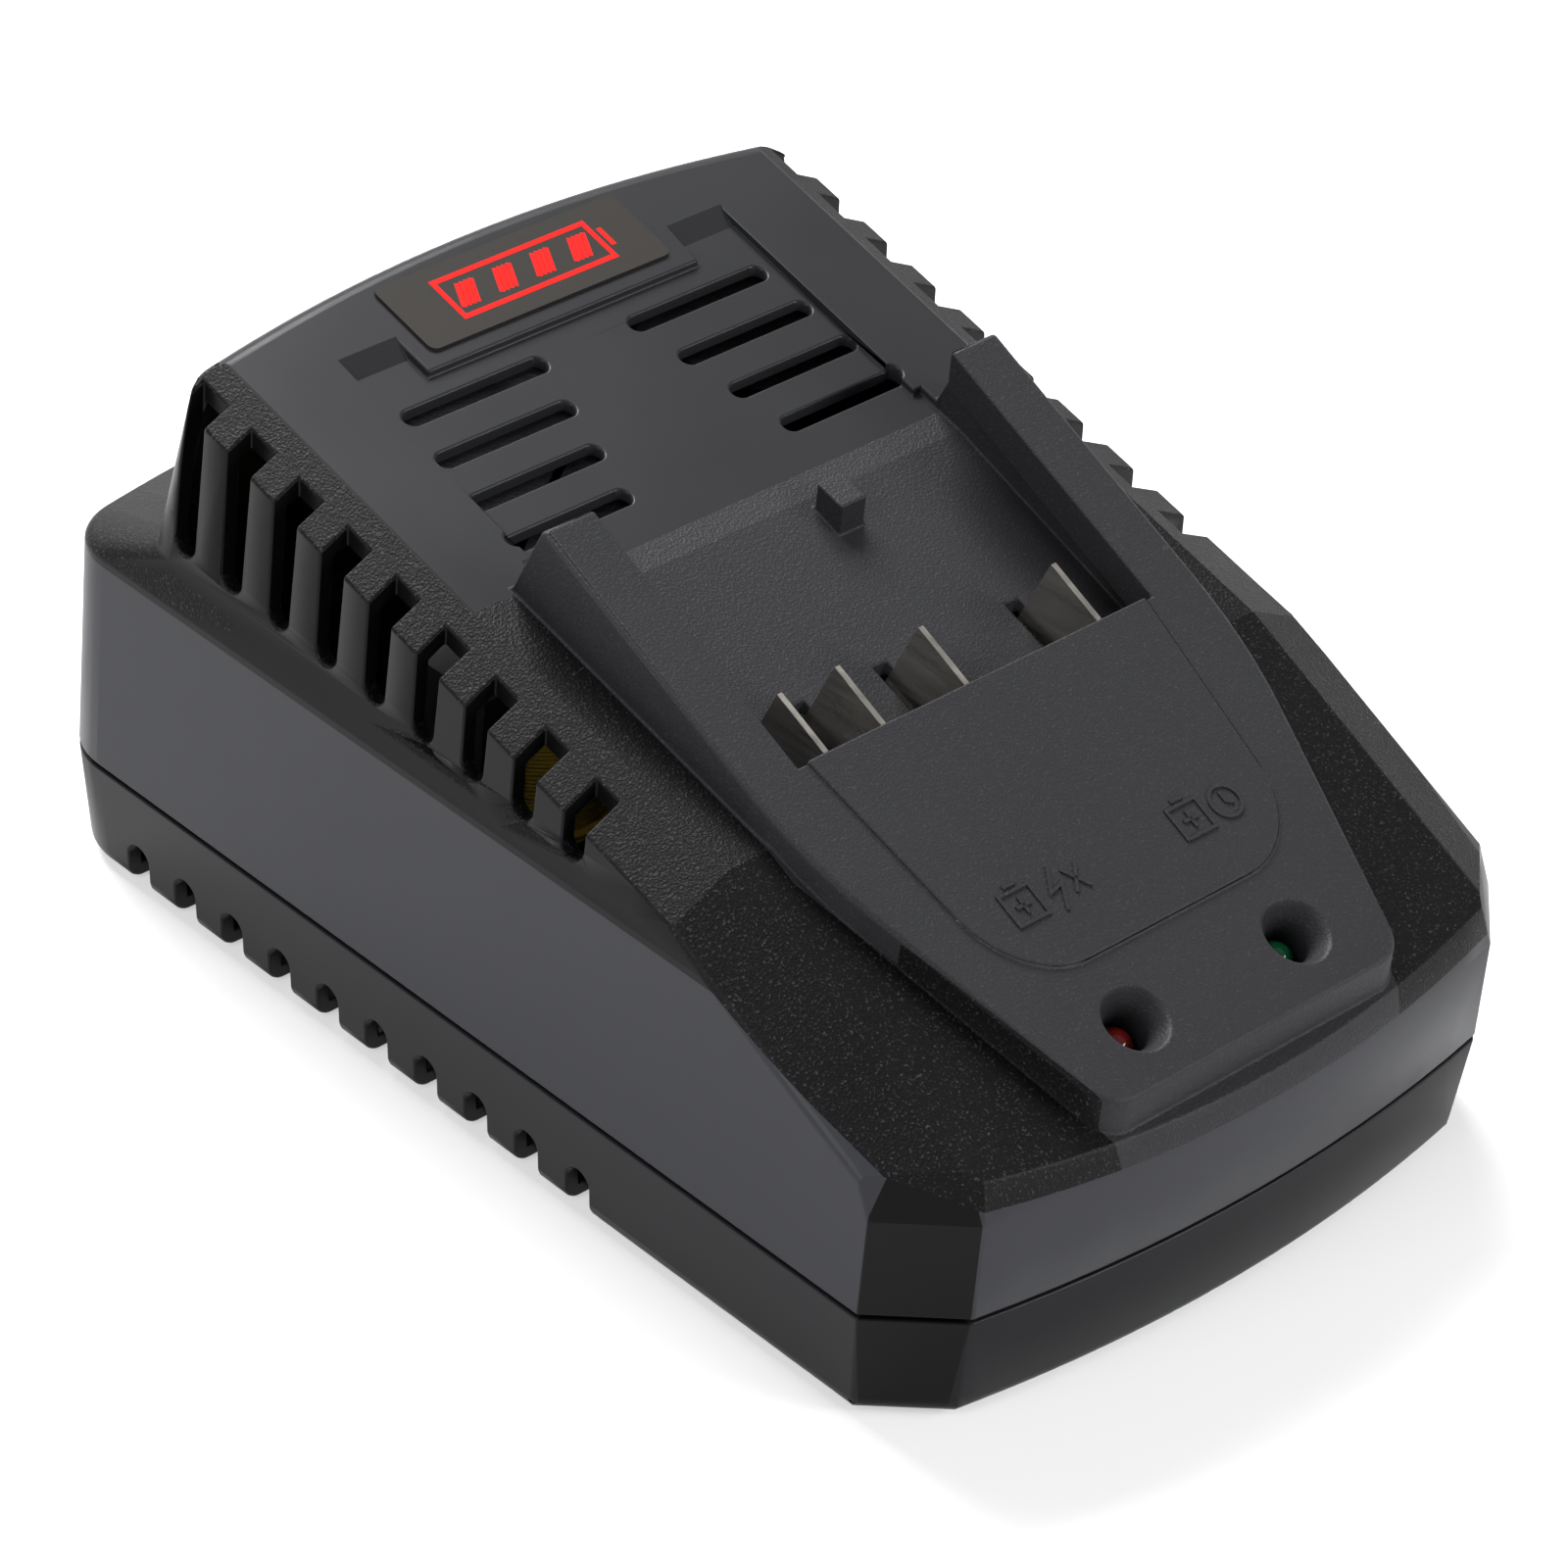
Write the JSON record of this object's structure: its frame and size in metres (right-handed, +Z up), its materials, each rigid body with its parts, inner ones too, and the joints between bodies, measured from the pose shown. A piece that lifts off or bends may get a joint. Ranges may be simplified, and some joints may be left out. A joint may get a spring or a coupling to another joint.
{
  "type": "charger",
  "caption": "Bench charger for a sliding tool battery: sloped vented housing with a raised battery platform, terminal blades and two lamps",
  "frame": {"origin": "centre of the footprint, on the surface that the charger stands on", "axes": "+X across the width, -Y towards the low front with the lamps, +Y towards the tall vented back, +Z up"},
  "size_m": [0.1072, 0.165, 0.0788],
  "materials": {
    "housing": "fine spark-eroded grain, satin on the skirt and rear roof",
    "label": "smooth warm dark grey",
    "carrier": "plain moulded black",
    "board": "green solder resist",
    "ferrite": "dark grey sintered",
    "coil": "yellow winding tape",
    "can": "dark sleeve",
    "aluminium": "extruded",
    "epoxy": "moulded epoxy",
    "fuse_glass": "clear glass with nickel caps",
    "film_cap": "yellow box",
    "red_lens": "diffused deep red",
    "green_lens": "diffused deep green",
    "inlet": "smooth black",
    "contact": "bright nickel",
    "lead": "insulated lead",
    "screw": "zinc plated",
    "rubber": "matte"
  },
  "bodies": {
    "root": {"upper_housing": "housing", "lower_housing": "housing", "label_plate": "label", "terminal_carrier": "carrier", "circuit_board": "board", "transformer_core": "ferrite", "transformer_winding": "coil", "input_capacitor": "can", "output_capacitor_1": "can", "output_capacitor_2": "can", "heatsink_side": "aluminium", "heatsink_front": "aluminium", "power_transistor": "epoxy", "rectifier": "epoxy", "choke_ring": "coil", "choke_base": "epoxy", "fuse": "fuse_glass", "film_capacitor": "film_cap", "control_chip": "epoxy", "red_lamp": "red_lens", "green_lamp": "green_lens", "mains_inlet": "inlet", "inlet_pin_left": "contact", "inlet_pin_right": "contact", "terminal_blade_one": "contact", "lead_one": "lead", "terminal_blade_two": "contact", "lead_two": "lead", "terminal_blade_three": "contact", "lead_three": "lead", "terminal_blade_four": "contact", "lead_four": "lead", "housing_screw_1": "screw", "board_screw_1": "screw", "rubber_foot_1": "rubber", "housing_screw_2": "screw", "board_screw_2": "screw", "rubber_foot_2": "rubber", "housing_screw_3": "screw", "board_screw_3": "screw", "rubber_foot_3": "rubber", "housing_screw_4": "screw", "board_screw_4": "screw", "rubber_foot_4": "rubber", "carrier_screw_1": "screw", "carrier_screw_2": "screw"}
  },
  "joints": []
}
